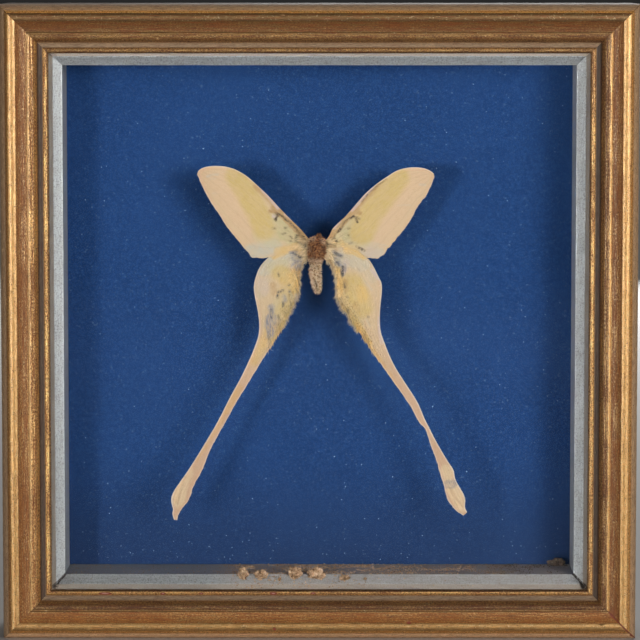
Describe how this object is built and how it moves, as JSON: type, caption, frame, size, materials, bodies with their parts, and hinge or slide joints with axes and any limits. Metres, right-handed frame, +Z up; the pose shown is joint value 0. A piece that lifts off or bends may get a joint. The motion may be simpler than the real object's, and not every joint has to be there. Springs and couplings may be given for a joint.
{
  "type": "framed moth specimen",
  "caption": "Long-tailed moth pinned with spread wings in a deep square gilt frame, behind glass, before a blue card.",
  "frame": {"origin": "centre of the box around the frame, on the flat lower edge that it stands on", "axes": "+Z up the frame; the front and its glass look along -Y; +X to the right seen from the front"},
  "size_m": [0.254, 0.049, 0.254],
  "materials": {
    "gilt": "worn gilding over red bole on moulded wood",
    "silver_slip": "silvered and toned, satin",
    "clear_glass": "plain clear",
    "blue_card": "matt blue board, dusty",
    "hardboard": "raw brown hardboard",
    "steel": "dull wire and plate",
    "wing_scales": "faded dry scales, matt",
    "moth_fur": "fine fur, matt",
    "frass": "dry brown crumbs"
  },
  "bodies": {
    "root": {"backboard": "hardboard", "backing_card": "blue_card", "brad_1": "steel", "brad_2": "steel", "brad_3": "steel", "brad_4": "steel", "brad_5": "steel", "brad_6": "steel", "brad_7": "steel", "brad_8": "steel", "crumb_1": "frass", "crumb_2": "frass", "crumb_3": "frass", "crumb_4": "frass", "crumb_5": "frass", "crumb_6": "frass", "crumb_7": "frass", "crumb_8": "frass", "forewing_left": "wing_scales", "forewing_right": "wing_scales", "glass": "clear_glass", "hanger": "steel", "hanger_nail_1": "steel", "hanger_nail_2": "steel", "hindwing_left": "wing_scales", "hindwing_right": "wing_scales", "moth_body": "moth_fur", "pin": "steel", "rail_bottom": "gilt", "rail_left": "gilt", "rail_right": "gilt", "rail_top": "gilt", "slip_bottom": "silver_slip", "slip_left": "silver_slip", "slip_right": "silver_slip", "slip_top": "silver_slip"}
  },
  "joints": []
}
